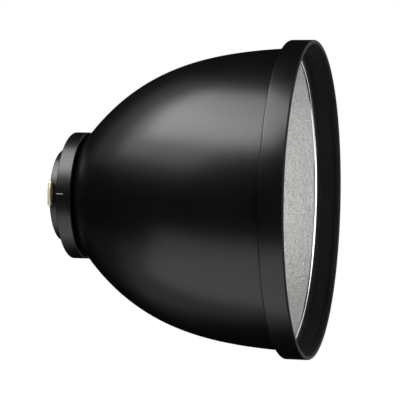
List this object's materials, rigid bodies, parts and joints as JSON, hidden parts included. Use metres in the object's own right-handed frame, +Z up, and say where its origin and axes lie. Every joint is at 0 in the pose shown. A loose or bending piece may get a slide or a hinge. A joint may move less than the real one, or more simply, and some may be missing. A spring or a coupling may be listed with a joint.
{
  "type": "studio flash reflector",
  "caption": "Deep bowl reflector for a studio flash: black outside, textured silver inside, with a rim that takes a honeycomb grid and a bayonet mount behind.",
  "frame": {"origin": "on the optical axis, in the plane of the mount flange's rear face, where the reflector seats on the flash head", "axes": "+X along the optical axis towards the open front, +Z up as it is used, +Y to the left looking along +X"},
  "size_m": [0.231, 0.28, 0.28],
  "materials": {
    "satin_black": "satin",
    "turned_black": "satin",
    "polished_aluminium": "polished",
    "satin_aluminium": "satin",
    "brass": "satin",
    "zinc_steel": "satin",
    "mark_paint": "matte"
  },
  "bodies": {
    "root": {"dish": "satin_black", "front_rim": "satin_black", "mouth_ring": "polished_aluminium", "mount_flange": "turned_black", "bayonet_collar": "turned_black", "clamp_ring": "satin_aluminium", "clamp_screws": "zinc_steel", "index_mark": "mark_paint", "bayonet_lug_1": "brass", "bayonet_lug_2": "brass", "bayonet_lug_3": "brass", "lug_screws_1": "zinc_steel", "lug_screws_2": "zinc_steel", "lug_screws_3": "zinc_steel"}
  },
  "joints": []
}
